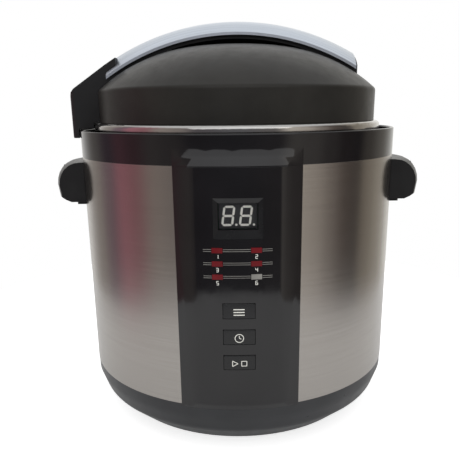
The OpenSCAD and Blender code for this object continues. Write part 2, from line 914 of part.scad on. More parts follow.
module cooking_pot() {
    edge = 6;
    out_r = pot_wall_r + 1.5;
    color("#8f9092") difference() {
        union() {
            rotate_extrude() difference() {
                union() {
                    translate([0, pot_base_z + edge]) square([pot_r, pot_rim_z - pot_base_z - edge]);
                    translate([0, pot_base_z]) square([pot_r - edge, edge + 1]);
                    translate([pot_r - edge, pot_base_z + edge]) circle(edge);
                }
                translate([-1, -1]) square([1, far]);
            }
            disc(out_r, pot_rim_z, pot_rim_z + pot_t);
        }
        rotate_extrude() difference() {
            union() {
                translate([0, pot_base_z + edge]) square([pot_in_r, far]);
                translate([0, pot_base_z + pot_t]) square([pot_r - edge, edge]);
                translate([pot_r - edge, pot_base_z + edge]) circle(edge - pot_t);
            }
            translate([-1, -1]) square([1, far]);
        }
    }
}

module inner_lid_plate() {
    color("#c4c5c7") difference() {
        disc(plate_rim_r, inner_plate_z, inner_plate_z + inner_plate_t);
        disc(grommet_r - 2 + seat, inner_plate_z - 1, inner_plate_z + 5);
        at_ring(12, 70, 15) disc(3, inner_plate_z - 1, inner_plate_z + 5);
    }
}

module sealing_ring() {
    color("#c9c9c4") difference() {
        ring(seal_out_r, seal_in_r, seal_z, seal_z + seal_h);
        disc(plate_rim_r + seat, inner_plate_z - seat, inner_plate_z + inner_plate_t + seat);
    }
}

module plate_grommet() {
    color("#c9c9c4") difference() {
        ring(grommet_r, post_r + run, inner_plate_z - 2.2, inner_plate_z + inner_plate_t + 2.2);
        ring(far, grommet_r - 2, inner_plate_z - seat, inner_plate_z + inner_plate_t + seat);
    }
}

// ---------- lid ----------

module steel_section(drop) {
    top = steel_top_z - drop;
    high = raised_top_z - drop;
    polygon([
        [0, skirt_z - 1], [ring_r - drop, skirt_z - 1], [ring_r - drop, top - roll_r + drop],
        [ring_r - roll_r, top - roll_r + drop], [ring_r - roll_r, top], [raise_out_r, top],
        [raise_in_r + 4, high - 1.5], [raise_in_r, high], [0, high]
    ]);
    translate([ring_r - roll_r, steel_top_z - roll_r]) circle(roll_r - drop);
}

module steel_solid(drop) {
    rotate_extrude() intersection() {
        steel_section(drop);
        square([far, far]);
    }
}

module lid_steel() {
    color("#b9b7b2") difference() {
        union() {
            difference() {
                steel_solid(0);
                steel_solid(lid_t);
                disc(far, skirt_z - 5, skirt_z);
            }
            lug_ring(skirt_in_r + 0.5, lid_lug_in_r, lid_lug_z, lid_lug_z + lug_t, lid_lug_deg, 0);
        }
        translate([0, valve_y, 0]) disc(pipe_r + seat, raised_under_z - 5, raised_top_z + 5);
        translate([float_x, float_y, 0]) disc(float_r + gap, raised_under_z - 5, raised_top_z + 5);
        at_ring(3, cover_post_ring, 30) disc(screw_r + seat, raised_under_z - 5, raised_top_z + 5);
    }
}

// The space that the dome fills, drawn smaller by an inset
module dome_solid(inset) {
    rotate_extrude() intersection() {
        translate([0, steel_top_z - 1]) square([lid_r - inset, far]);
        union() {
            translate([dome_flat_r, dome_top_z - dome_arc_r]) circle(dome_arc_r - inset, $fn = 360);
            square([dome_flat_r, dome_top_z - inset]);
        }
    }
}

module lid_cover() {
    inner_top = shoulder_z + 4;
    color("#2c2b2a") difference() {
        union() {
            difference() {
                dome_solid(0);
                dome_solid(cover_t);
            }
            intersection() {
                dome_solid(1);
                union() {
                    translate([0, valve_y, 0]) disc(well_r + 2, well_floor_z - 2, far);
                    at_ring(3, cover_post_ring, 30) disc(cover_post_r, raised_top_z, far);
                    for (x = [-1, 1], y = [-1, 1])
                        translate([x * leg_screw_x, y * leg_screw_y, 0]) disc(5, inner_top + 4, far);
                }
            }
        }
        disc(far, 0, steel_top_z);
        translate([0, valve_y, 0]) {
            disc(well_r, well_floor_z, far);
            disc(pipe_r + 0.6, 0, far);
        }
        translate([float_x, float_y, 0]) disc(float_hole_r, 0, far);
        at_ring(3, cover_post_ring, 30) disc(screw_r, 0, raised_top_z + 14);
        for (x = [-1, 1], y = [-1, 1])
            translate([x * leg_screw_x, y * leg_screw_y, 0]) disc(tap_r + seat, 0, far);
        translate([-lid_r, rod_y, rod_z]) rotate([0, 90, 0])
            cylinder(r = rod_r + gap, h = 20, center = true);
    }
}

module lid_post() {
    color("silver") {
        disc(post_r, inner_plate_z - 4, raised_under_z);
        disc(post_head_r, inner_plate_z - 6, inner_plate_z - 4 + tiny);
    }
}

module cover_screws() {
    color("silver") at_ring(3, cover_post_ring, 30) {
        disc(screw_head_r, raised_under_z - 2, raised_under_z);
        disc(screw_r, raised_under_z - tiny, raised_top_z + 12);
    }
}

// Barrel shape of the handle's top, drawn smaller by an inset
module barrel(inset) {
    translate([0, 0, crown_z - arch_r]) rotate([90, 0, 0])
        rotate_extrude($fn = 360) translate([arch_r - crown_r, 0]) circle(crown_r - inset);
}

// All the space below the barrel's top, between two ends
module under_barrel(inset, x0, x1, half_w) {
    intersection() {
        translate([0, 0, crown_z - arch_r]) rotate([90, 0, 0]) union() {
            rotate_extrude($fn = 360) translate([arch_r - crown_r, 0]) circle(crown_r - inset);
            translate([0, 0, -crown_r]) cylinder(r = arch_r - crown_r, h = 2 * crown_r, $fn = 360);
        }
        box(x0, x1, -half_w, half_w, shoulder_z - 20, far);
    }
}

module handle_plate() {
    color("#c6cdd6") difference() {
        intersection() {
            barrel(0);
            box(-handle_left, handle_right, -plate_half_w, plate_half_w, shoulder_z, far);
        }
        barrel(plate_metal_t);
    }
}

module hook_profile() {
    out = body_r + hook_out;
    polygon([
        [-handle_left + 8, crown_z - 29], [-handle_left - 1, crown_z - 34.5],
        [-out + 4, shoulder_z + 2.5], [-out + 1.2, shoulder_z - 0.5], [-out, shoulder_z - 5],
        [-out, hook_z + 1], [-out + 1, hook_z], [-handle_left + 8, hook_z]
    ]);
}

module lid_handle() {
    skin = plate_metal_t + seat;
    end_l = -handle_left - grip_end;
    end_r = handle_right + grip_end;
    hook_mid = -(body_r + hook_out) + 40;
    color("#171718") difference() {
        union() {
            difference() {
                under_barrel(skin, end_l, end_r, grip_half_w);
                under_barrel(skin + grip_t, -finger_half, finger_half, far);
            }
            difference() {
                intersection() {
                    along_y(-hook_half_w, hook_half_w) hook_profile();
                    translate([hook_mid, 0, 0]) linear_extrude(far) round_rect(80, 2 * hook_half_w, 5);
                }
                difference() {
                    barrel(-seat);
                    barrel(skin);
                    box(-far, -handle_left - seat, -far, far, 0, far);
                }
            }
        }
        dome_solid(-seat);
        disc(ring_r + 0.8, 0, hook_under_z);
        disc(body_r + hook_in, 0, hook_over_z);
        for (x = [-1, 1], y = [-1, 1])
            translate([x * leg_screw_x, y * leg_screw_y, 0]) disc(tap_r + 0.05, 0, dome_top_z + 2);
        translate([-lid_r, rod_y, rod_z]) rotate([0, 90, 0])
            cylinder(r = rod_r + gap, h = 12, center = true);
    }
}

module handle_screws() {
    z0 = shoulder_z + 8;
    color("silver") for (x = [-1, 1], y = [-1, 1])
        translate([x * leg_screw_x, y * leg_screw_y, 0]) {
            disc(4, z0 - 2.4, z0);
            disc(tap_r, z0 - tiny, dome_top_z);
        }
}

module exhaust_pipe() {
    color("silver") translate([0, valve_y, 0]) difference() {
        union() {
            disc(pipe_r, raised_under_z - 3, well_floor_z + 12);
            translate([0, 0, raised_top_z]) cylinder(r = 8, h = 4, $fn = 6);
        }
        disc(pipe_bore_r, 0, far);
    }
}

module steam_filter() {
    color("#b9babc") translate([0, valve_y, 0]) difference() {
        ring(11, pipe_r + seat, raised_under_z - 9, raised_under_z);
        ring(10, pipe_r - 1, raised_under_z - 8, raised_under_z - 1.4);
        at_ring(8, 11, 0) disc(1.4, raised_under_z - 7, raised_under_z - 3);
    }
}

module pressure_valve() {
    z0 = well_floor_z + 1.2;
    color("#1b1b1c") translate([0, valve_y, 0]) difference() {
        union() {
            disc(knob_r, z0, z0 + knob_h - 8);
            translate([0, 0, z0 + knob_h - 8 - tiny]) linear_extrude(8) round_rect(2 * knob_r - 1, 8, 3.5);
        }
        disc(pipe_r + run, z0 - 1, well_floor_z + 13);
    }
}

module float_valve() {
    top = dome_top_z - 7;
    color("#a11f22") translate([float_x, float_y, 0]) {
        disc(float_r, raised_under_z - 12, top - 3);
        disc(float_cap_r, top - 4, top);
    }
}

module float_seal() {
    color("#8a2f2a") translate([float_x, float_y, 0])
        ring(5, float_r, raised_under_z - float_rise - 5, raised_under_z - float_rise - gap);
}

module rod_guide() {
    color("silver") difference() {
        union() {
            box(guide_x, guide_x + guide_t, rod_y - 6, rod_y + 6, steel_top_z, rod_z + 5);
            box(guide_x - 6, guide_x + tiny, rod_y - 6, rod_y + 6, steel_top_z, steel_top_z + 1.5);
        }
        translate([guide_x - 1, rod_y, rod_z]) rotate([0, 90, 0]) cylinder(r = rod_r + run, h = 20);
    }
}

module rod_spring() {
    color("#c8c8c8") translate([guide_x - spring_len, rod_y, rod_z]) rotate([0, 90, 0]) difference() {
        cylinder(r = rod_stop_r, h = spring_len);
        translate([0, 0, -1]) cylinder(r = rod_stop_r - 0.8, h = spring_len + 2);
    }
}

module push_rod() {
    color("silver") translate([rod_out_x, rod_y, rod_z]) rotate([0, 90, 0]) {
        cylinder(r = rod_r, h = rod_len);
        translate([0, 0, rod_stop_x]) cylinder(r = rod_stop_r, h = rod_stop_t);
    }
}

// ---------- nodes ----------

base_shell();
base_cover();
rubber_feet();
base_screws();
power_inlet();
inlet_pins();
power_board();
transformer();
steel_skin();
collar();
trough_ring();
collar_gasket();
heat_shield();
outer_pot();
heating_plate();
heating_element();
thermal_fuse();
sensor_bracket();
sensor_spring();
temperature_sensor();
pressure_switch();
control_panel();
control_board();
display_module();
display_digits();
display_lens();
red_lamps();
pale_lamp();
panel_button(1);  // menu_button
panel_button(0);  // time_button
panel_button(-1);  // start_button
rotate([0, 0, 180]) side_handle();  // side_handle_left
side_handle();  // side_handle_right
side_handle_screws();
cup_bracket();
drip_cup();
cooking_pot();
inner_lid_plate();
sealing_ring();
plate_grommet();
lid_steel();
lid_cover();
lid_post();
cover_screws();
lid_handle();
handle_plate();
handle_screws();
exhaust_pipe();
steam_filter();
pressure_valve();
float_valve();
float_seal();
rod_guide();
rod_spring();
push_rod();
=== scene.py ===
"""Looks of the electric pressure cooker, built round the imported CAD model. Metres."""
import json
import math

import bmesh
import bpy
from mathutils import Matrix, Vector


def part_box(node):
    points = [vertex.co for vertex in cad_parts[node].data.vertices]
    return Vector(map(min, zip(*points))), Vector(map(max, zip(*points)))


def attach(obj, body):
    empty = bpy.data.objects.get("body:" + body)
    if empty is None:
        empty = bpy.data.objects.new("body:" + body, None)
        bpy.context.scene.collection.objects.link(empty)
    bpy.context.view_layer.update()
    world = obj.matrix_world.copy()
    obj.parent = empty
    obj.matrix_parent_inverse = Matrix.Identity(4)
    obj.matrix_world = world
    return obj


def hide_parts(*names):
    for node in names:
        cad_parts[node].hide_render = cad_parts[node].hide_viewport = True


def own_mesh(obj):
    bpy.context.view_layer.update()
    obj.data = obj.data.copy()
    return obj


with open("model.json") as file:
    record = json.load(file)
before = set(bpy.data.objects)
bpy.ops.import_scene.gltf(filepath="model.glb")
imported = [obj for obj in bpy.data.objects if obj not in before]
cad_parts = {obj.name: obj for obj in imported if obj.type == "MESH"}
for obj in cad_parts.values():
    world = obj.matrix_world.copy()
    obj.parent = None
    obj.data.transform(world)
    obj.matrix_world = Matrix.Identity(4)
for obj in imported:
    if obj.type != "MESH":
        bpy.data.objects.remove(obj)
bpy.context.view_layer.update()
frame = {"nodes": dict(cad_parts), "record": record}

MM = 0.001
nodes = frame["nodes"]
slots = {s["node"]: s["material_slot"] for s in frame["record"]["subparts"]}


# ---------- materials ----------

class Paint:
    """A material being put together from shader nodes."""

    def __init__(self, name, **sockets):
        self.material = bpy.data.materials.new(name)
        self.material.use_nodes = True
        self.nodes = self.material.node_tree.nodes
        self.links = self.material.node_tree.links
        self.shader = self.nodes["Principled BSDF"]
        for key, value in sockets.items():
            self.shader.inputs[key.replace("_", " ")].default_value = value
        self.place = self.nodes.new("ShaderNodeTexCoord").outputs["Object"]

    def add(self, kind, **settings):
        node = self.nodes.new("ShaderNode" + kind)
        for key, value in settings.items():
            setattr(node, key, value)
        return node

    def noise(self, scale, detail=4.0, rough=0.6):
        """Noise with its own scale along each axis, in cells per metre."""
        mapping = self.add("Mapping")
        mapping.inputs["Scale"].default_value = scale
        self.links.new(self.place, mapping.inputs["Vector"])
        noise = self.add("TexNoise")
        noise.inputs["Scale"].default_value = 1.0
        noise.inputs["Detail"].default_value = detail
        noise.inputs["Roughness"].default_value = rough
        self.links.new(mapping.outputs["Vector"], noise.inputs["Vector"])
        return noise.outputs["Fac"]

    def span(self, source, low, high, to_low, to_high):
        node = self.add("MapRange")
        for key, value in (("From Min", low), ("From Max", high), ("To Min", to_low), ("To Max", to_high)):
            node.inputs[key].default_value = value
        self.links.new(source, node.inputs["Value"])
        return node.outputs["Result"]

    def tint(self, source, first, second, low=0.35, high=0.65):
        ramp = self.add("ValToRGB")
        ramp.color_ramp.elements[0].position = low
        ramp.color_ramp.elements[1].position = high
        ramp.color_ramp.elements[0].color = (*first, 1)
        ramp.color_ramp.elements[1].color = (*second, 1)
        self.links.new(source, ramp.inputs["Fac"])
        self.links.new(ramp.outputs["Color"], self.shader.inputs["Base Color"])
        return ramp

    def rough(self, source, low, high):
        self.links.new(self.span(source, 0.3, 0.7, low, high), self.shader.inputs["Roughness"])

    def bump(self, source, strength, depth):
        bump = self.add("Bump")
        bump.inputs["Strength"].default_value = strength
        bump.inputs["Distance"].default_value = depth
        self.links.new(source, bump.inputs["Height"])
        self.links.new(bump.outputs["Normal"], self.shader.inputs["Normal"])


def shaded(colour, share):
    return tuple(c * share for c in colour)


def moulded(name, colour, rough, grain=900.0, depth=0.03, spread=0.06, vary=0.14, **more):
    """Moulded plastic or rubber: fine grain, cloudy colour and roughness."""
    paint = Paint(name, IOR=1.48, **more)
    cloud = paint.noise((30, 30, 30), 5)
    paint.tint(cloud, shaded(colour, 1 - vary), shaded(colour, 1 + vary))
    paint.rough(paint.noise((90, 90, 90), 6, 0.7), rough - spread, rough + spread)
    paint.bump(paint.noise((grain, grain, grain), 2), 0.5, depth * MM)
    return paint.material


def metal(name, colour, rough, grain, depth=0.01, vary=0.08, turn=None, stretch=0.0, spread=0.05):
    """Sheet or machined metal, brushed or rolled along the axis whose grain is coarse."""
    paint = Paint(name, Metallic=1.0, Anisotropic=stretch)
    streaks = paint.noise(grain, 6, 0.75)
    paint.tint(streaks, shaded(colour, 1 - vary), shaded(colour, 1 + vary))
    paint.rough(paint.noise(shaded(grain, 0.6), 5, 0.7), rough - spread, rough + spread)
    paint.bump(streaks, 0.4, depth * MM)
    if turn is not None:
        tangent = paint.add("Tangent", direction_type="RADIAL", axis="Z")
        paint.links.new(tangent.outputs["Tangent"], paint.shader.inputs["Tangent"])
        paint.shader.inputs["Anisotropic Rotation"].default_value = turn
    return paint.material


def clear(name, colour, rough, through, alpha=1.0):
    """Clear or smoked plastic with faint clouding."""
    paint = Paint(name, IOR=1.49, Transmission_Weight=through, Alpha=alpha)
    cloud = paint.noise((60, 60, 60), 4)
    paint.tint(cloud, shaded(colour, 0.94), colour)
    paint.rough(paint.noise((200, 200, 200), 4), rough * 0.6, rough * 1.6)
    return paint.material


LOOKS = {
    "charcoal_plastic": moulded("charcoal_plastic", (0.030, 0.031, 0.034), 0.33, 1100, 0.02),
    "vent_plate": moulded("vent_plate", (0.028, 0.028, 0.030), 0.55),
    "foot_rubber": moulded("foot_rubber", (0.012, 0.012, 0.012), 0.75, 700, 0.05),
    "inlet_plastic": moulded("inlet_plastic", (0.012, 0.012, 0.013), 0.45),
    "grey_silicone": moulded("grey_silicone", (0.42, 0.42, 0.40), 0.55, 500),
    "white_ceramic": moulded("white_ceramic", (0.75, 0.73, 0.68), 0.6, 600, 0.05, vary=0.05),
    "switch_body": moulded("switch_body", (0.40, 0.25, 0.10), 0.5),
    "display_body": moulded("display_body", (0.030, 0.031, 0.034), 0.5, 1500),
    "circuit_board": moulded("circuit_board", (0.02, 0.12, 0.05), 0.35, 300, 0.04),
    "gloss_black": moulded("gloss_black", (0.0065, 0.0058, 0.0068), 0.085, 420, 0.0012, 0.03, 0.2,
                           Specular_IOR_Level=0.68),
    "button_black": moulded("button_black", (0.012, 0.012, 0.013), 0.24, 900, 0.02),
    "handle_black": moulded("handle_black", (0.0125, 0.0122, 0.0125), 0.36, 1300, 0.03),
    "grip_black": moulded("grip_black", (0.0105, 0.0105, 0.0115), 0.50, 1300, 0.05),
    "lid_plastic": moulded("lid_plastic", (0.0240, 0.0225, 0.0200), 0.36, 1500, 0.025,
                           Specular_IOR_Level=0.24),
    "lamp_red": moulded("lamp_red", (0.16, 0.006, 0.010), 0.22, 2600, 0.05, vary=0.3),
    "lamp_pale": moulded("lamp_pale", (0.27, 0.26, 0.24), 0.25, 2600, 0.05, vary=0.2),
    "digit_white": moulded("digit_white", (0.92, 0.91, 0.84), 0.4, 2000, 0.01, vary=0.04),
    "red_cap": moulded("red_cap", (0.40, 0.02, 0.02), 0.35),
    "red_silicone": moulded("red_silicone", (0.35, 0.06, 0.04), 0.55),
    "pot_coating": moulded("pot_coating", (0.08, 0.08, 0.085), 0.35, 1700, 0.05, vary=0.2),
    "zinc_screw": metal("zinc_screw", (0.62, 0.62, 0.60), 0.3, (300, 300, 300)),
    "pin_brass": metal("pin_brass", (0.78, 0.68, 0.42), 0.25, (400, 80, 400)),
    "copper_coil": metal("copper_coil", (0.55, 0.33, 0.12), 0.35, (200, 200, 3000)),
    "brushed_skin": metal("brushed_skin", (0.435, 0.41, 0.385), 0.24, (10, 10, 1500), 0.0012, 0.06,
                          0.25, 0.5, 0.03),
    "shield_tin": metal("shield_tin", (0.6, 0.6, 0.6), 0.35, (60, 60, 500)),
    "spun_aluminium": metal("spun_aluminium", (0.55, 0.55, 0.56), 0.33, (20, 20, 1500), 0.01, 0.08,
                            0.25, 0.5),
    "cast_aluminium": metal("cast_aluminium", (0.5, 0.5, 0.5), 0.42, (500, 500, 500), 0.03),
    "element_sheath": metal("element_sheath", (0.24, 0.22, 0.20), 0.5, (300, 300, 300), 0.02, 0.25),
    "spring_steel": metal("spring_steel", (0.55, 0.55, 0.55), 0.28, (400, 400, 400)),
    "sensor_cap": metal("sensor_cap", (0.60, 0.60, 0.62), 0.32, (500, 500, 500)),
    "plate_aluminium": metal("plate_aluminium", (0.60, 0.60, 0.61), 0.3, (300, 20, 300)),
    "polished_steel": metal("polished_steel", (0.62, 0.605, 0.585), 0.13, (14, 14, 900), 0.003, 0.05,
                            spread=0.03),
    # brushed_plate: steel colour, partly its own and partly painted reflection: raised and tinted pale blue
    # to stand in for the bright bluish window that the up-facing plate reflects
    "brushed_plate": metal("brushed_plate", (0.74, 0.79, 0.86), 0.36, (9, 1500, 9), 0.02, 0.16),
    "smoked_lens": clear("smoked_lens", (0.02, 0.02, 0.022), 0.06, 0.0, 0.12),
    "cup_clear": clear("cup_clear", (0.62, 0.65, 0.66), 0.10, 0.0, 0.34),
}


# ---------- CAD nodes ----------

EDGE_ROUND = {
    "collar": 0.5, "control_panel": 0.45, "base_shell": 0.5, "lid_handle": 0.9, "handle_plate": 0.35,
    "menu_button": 0.7, "time_button": 0.7, "start_button": 0.7, "drip_cup": 0.4, "cup_bracket": 0.5,
    "pressure_valve": 0.7, "power_inlet": 0.4, "steel_skin": 0.2, "cooking_pot": 0.3, "base_cover": 0.3,
    "trough_ring": 0.4, "side_handle_left": 2.0, "side_handle_right": 2.0, "heating_plate": 0.5,
    "transformer": 0.4, "power_board": 0.2, "display_module": 0.2, "lid_steel": 0.2,
}
SMOOTH_TO = math.radians(32)


def soften(node, width):
    """Rounds the sharp edges of a CAD node, without touching its own vertices."""
    piece = nodes[node]
    weld = piece.modifiers.new("weld", "WELD")
    weld.merge_threshold = 0.002 * MM
    if width:
        bevel = piece.modifiers.new("round", "BEVEL")
        bevel.width = width * MM
        bevel.segments = 3
        bevel.limit_method = "ANGLE"
        bevel.angle_limit = SMOOTH_TO
        bevel.use_clamp_overlap = True
        bevel.harden_normals = False
    smooth_faces(piece)


def smooth_faces(piece):
    mesh = piece.data
    custom = mesh.attributes.get("custom_normal")
    if custom:
        mesh.attributes.remove(custom)
    mesh.shade_smooth()
    weighted = piece.modifiers.new("shade", "WEIGHTED_NORMAL")
    weighted.keep_sharp = True
    weighted.weight = 80


for node_name, piece in nodes.items():
    piece.data.materials.clear()
    piece.data.materials.append(LOOKS[slots[node_name]])
for node_name, width in EDGE_ROUND.items():
    soften(node_name, width)


# ---------- new pieces ----------

def make_piece(name, points, faces, slot, body, stands_for=(), smooth=True):
    mesh = bpy.data.meshes.new(name)
    mesh.from_pydata([tuple(p) for p in points], [], faces)
    mesh.validate()
    tidy = bmesh.new()
    tidy.from_mesh(mesh)
    bmesh.ops.recalc_face_normals(tidy, faces=tidy.faces)
    tidy.to_mesh(mesh)
    tidy.free()
    if smooth:
        mesh.shade_smooth()
    piece = bpy.data.objects.new(name, mesh)
    bpy.context.scene.collection.objects.link(piece)
    mesh.materials.append(LOOKS[slot])
    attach(piece, body)
    if stands_for:
        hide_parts(*stands_for)
    return piece


def lathe(section, steps=256, centre=(0.0, 0.0)):
    """Points and faces of a closed section of (radius, height) turned about +Z."""
    count = len(section)
    points = []
    faces = []
    for i in range(steps):
        turn = 2 * math.pi * i / steps
        for r, z in section:
            points.append((centre[0] + r * math.cos(turn), centre[1] + r * math.sin(turn), z))
    for i in range(steps):
        ahead = (i + 1) % steps
        for j in range(count):
            k = (j + 1) % count
            faces.append((i * count + j, ahead * count + j, ahead * count + k, i * count + k))
    return points, faces


def rounded(corners, arc_steps=6):
    """A closed outline with each corner (x, z, radius) replaced by an arc."""
    outline = []
    count = len(corners)
    for i, (x, z, radius) in enumerate(corners):
        here = Vector((x, z))
        if radius <= 0:
            outline.append(tuple(here))
            continue
        before = (Vector(corners[i - 1][:2]) - here).normalized()
        after = (Vector(corners[(i + 1) % count][:2]) - here).normalized()
        half = math.acos(max(-1.0, min(1.0, before.dot(after)))) / 2
        reach = radius / math.tan(half)
        centre = here + (before + after).normalized() * (radius / math.sin(half))
        start = here + before * reach - centre
        sweep = start.angle_signed(here + after * reach - centre)
        for step in range(arc_steps + 1):
            turn = -sweep * step / arc_steps
            spun = Vector((start.x * math.cos(turn) - start.y * math.sin(turn),
                           start.x * math.sin(turn) + start.y * math.cos(turn)))
            outline.append(tuple(centre + spun))
    return outline


def shade(piece, weight=60):
    weighted = piece.modifiers.new("shade", "WEIGHTED_NORMAL")
    weighted.keep_sharp = True
    weighted.weight = weight


def cut(piece, name, points, faces):
    """Cuts a shape out of a piece for good."""
    mesh = bpy.data.meshes.new(name)
    mesh.from_pydata([tuple(p) for p in points], [], faces)
    tidy = bmesh.new()
    tidy.from_mesh(mesh)
    bmesh.ops.recalc_face_normals(tidy, faces=tidy.faces)
    tidy.to_mesh(mesh)
    tidy.free()
    tool = bpy.data.objects.new(name, mesh)
    bpy.context.scene.collection.objects.link(tool)
    boolean = piece.modifiers.new(name, "BOOLEAN")
    boolean.object = tool
    boolean.operation = "DIFFERENCE"
    boolean.solver = "EXACT"
    bpy.context.view_layer.update()
    graph = bpy.context.evaluated_depsgraph_get()
    cut_mesh = bpy.data.meshes.new_from_object(piece.evaluated_get(graph))
    piece.modifiers.clear()
    piece.data = cut_mesh
    bpy.data.objects.remove(tool)


def plug(r, low, high, centre, steps=64):
    """A closed cylinder as points and faces."""
    points, faces = lathe([(r, low), (r, high)], steps, centre)
    faces = [f for i, f in enumerate(faces) if i % 2 == 0]
    faces.append([i * 2 for i in range(steps)])
    faces.append([i * 2 + 1 for i in range(steps)])
    return points, faces


# Lid: a lathe with a soft shoulder between wall and dome
cover_low, cover_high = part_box("lid_cover")
LID_R = cover_high.x
DOME_TOP = cover_high.z
DOME_FLAT = 25 * MM
DOME_H = 35.4 * MM
COVER_T = 2.6 * MM
SHOULDER_Z = DOME_TOP - DOME_H
dome_run = LID_R - DOME_FLAT
DOME_ARC_R = (dome_run ** 2 + DOME_H ** 2) / (2 * DOME_H)
DOME_MID_Z = DOME_TOP - DOME_ARC_R


def dome_height(r, inset=0.0):
    if r <= DOME_FLAT:
        return DOME_TOP - inset
    return DOME_MID_Z + math.sqrt((DOME_ARC_R - inset) ** 2 - (r - DOME_FLAT) ** 2)


def dome_line(r_from, r_to, inset, steps):
    return [(r_from + (r_to - r_from) * i / steps,
             dome_height(r_from + (r_to - r_from) * i / steps, inset)) for i in range(steps + 1)]


def build_lid_cover():
    shoulder_round = 2.2 * MM
    slope = math.atan2(LID_R - DOME_FLAT, DOME_ARC_R)
    start_r = LID_R - shoulder_round * 0.9
    tangent = (math.cos(slope), -math.sin(slope))
    outer = dome_line(0.0001, start_r, 0, 40)
    edge_r, edge_z = outer[-1]
    corner_z = edge_z + tangent[1] * (LID_R - edge_r) / tangent[0]
    bend = []
    for i in range(1, 7):
        t = i / 6
        first = (1 - t) ** 2
        middle = 2 * t * (1 - t)
        last = t ** 2
        bend.append((first * edge_r + middle * LID_R + last * LID_R,
                     first * edge_z + middle * corner_z + last * (corner_z - shoulder_round)))
    foot = rounded([(LID_R, cover_low.z, 0.5 * MM), (LID_R - COVER_T, cover_low.z, 0.4 * MM),
                    (LID_R - COVER_T, SHOULDER_Z - COVER_T, 0)], 3)
    inner = dome_line(LID_R - COVER_T - 1 * MM, 0.0001, COVER_T, 24)
    section = outer + bend + foot[:-1] + inner
    points, faces = lathe(section, 320)
    cover = make_piece("lid_cover_shell", points, faces, "lid_plastic", "lid", ["lid_cover"])
    valve_low, valve_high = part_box("pressure_valve")
    valve = ((valve_low.x + valve_high.x) / 2, (valve_low.y + valve_high.y) / 2)
    float_low, float_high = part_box("float_valve")
    pin = ((float_low.x + float_high.x) / 2, (float_low.y + float_high.y) / 2)
    rod_low, rod_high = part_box("push_rod")
    well_r = 16 * MM
    cut(cover, "well_cut", *plug(well_r + 1 * MM, DOME_TOP - 40 * MM, DOME_TOP + 10 * MM, valve, 96))
    cut(cover, "pin_cut", *plug(5 * MM, DOME_TOP - 40 * MM, DOME_TOP + 10 * MM, pin, 48))
    rod_points, rod_faces = plug(2.3 * MM, -LID_R - 8 * MM, -LID_R + 8 * MM, (0, 0), 32)
    middle = ((rod_low.y + rod_high.y) / 2, (rod_low.z + rod_high.z) / 2)
    cut(cover, "rod_cut", [(z, middle[0] + x, middle[1] + y) for x, y, z in rod_points], rod_faces)
    cover.data.shade_smooth()
    cover.data.set_sharp_from_angle(angle=math.radians(35))
    shade(cover, 90)
    floor_z = valve_low.z - 1.2 * MM
    lip = 0.7 * MM
    wall = 2 * MM
    rim_z = dome_height(math.hypot(valve[0], valve[1] - well_r))
    pipe_gap_r = 4.6 * MM
    wall_top = rim_z - 12 * MM
    well = rounded([(pipe_gap_r, floor_z - wall, 0), (well_r + wall, floor_z - wall, 1 * MM),
                    (well_r + wall, wall_top, 0), (well_r, wall_top, 0), (well_r, floor_z, 1.2 * MM),
                    (pipe_gap_r, floor_z, 0.3 * MM)], 4)
    points, faces = lathe(well, 96, valve)
    shade(make_piece("valve_well", points, faces, "lid_plastic", "lid"))
    lining = []
    steps = 128
    for i in range(steps):
        turn = 2 * math.pi * i / steps
        for r, drop in ((well_r + 1.6 * MM, 0.25 * MM), (well_r + 0.6 * MM, -0.1 * MM), (well_r, lip),
                        (well_r, 14 * MM), (well_r + 1.6 * MM, 14 * MM)):
            x = valve[0] + r * math.cos(turn)
            y = valve[1] + r * math.sin(turn)
            z = dome_height(math.hypot(x, y)) - drop
            lining.append((x, y, max(z, floor_z - 1 * MM) if drop > lip else z))
    faces = []
    for i in range(steps):
        ahead = (i + 1) % steps
        for j in range(5):
            k = (j + 1) % 5
            faces.append((i * 5 + j, ahead * 5 + j, ahead * 5 + k, i * 5 + k))
    shade(make_piece("valve_well_rim", lining, faces, "lid_plastic", "lid"))


build_lid_cover()


def helix(name, centre, axis, r, wire, length, turns, slot, body, node, start):
    """A coil spring as one tube of the wire's thickness."""
    steps = 28 * turns
    sides = 10
    points = []
    along = Vector(axis)
    side = Vector((0, 0, 1)) if abs(along.z) < 0.5 else Vector((1, 0, 0))
    other = along.cross(side)
    for i in range(steps + 1):
        t = i / steps
        turn = 2 * math.pi * turns * t
        ease = min(1.0, max(0.0, (t * turns - 0.75) / (turns - 1.5)))
        out = side * math.cos(turn) + other * math.sin(turn)
        middle = Vector(centre) + along * (start + wire + (length - 2 * wire) * ease) + out * (r - wire)
        for s in range(sides):
            a = 2 * math.pi * s / sides
            points.append(middle + (out * math.cos(a) + along * math.sin(a)) * wire)
    faces = []
    for i in range(steps):
        for s in range(sides):
            k = (s + 1) % sides
            faces.append((i * sides + s, i * sides + k, (i + 1) * sides + k, (i + 1) * sides + s))
    faces.append(list(range(sides)))
    faces.append([steps * sides + s for s in range(sides)])
    return make_piece(name, points, faces, slot, body, [node])


def build_springs():
    low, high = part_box("sensor_spring")
    centre = ((low.x + high.x) / 2, (low.y + high.y) / 2, 0)
    coil = helix("sensor_coil", centre, (0, 0, 1), (high.x - low.x) / 2, 0.6 * MM, high.z - low.z, 6,
                 "spring_steel", "body", "sensor_spring", low.z)
    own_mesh(coil)
    low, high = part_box("rod_spring")
    centre = (0, (low.y + high.y) / 2, (low.z + high.z) / 2)
    coil = helix("rod_coil", centre, (1, 0, 0), (high.y - low.y) / 2, 0.35 * MM, high.x - low.x, 4,
                 "spring_steel", "lid", "rod_spring", low.x)
    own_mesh(coil)


build_springs()


# ---------- marks and small pieces of the panel ----------

def on_wall(x, z, r, front=True):
    """The point of an upright cylinder about +Z at x and z."""
    y = math.sqrt(r * r - x * x)
    return (x, -y if front else y, z)


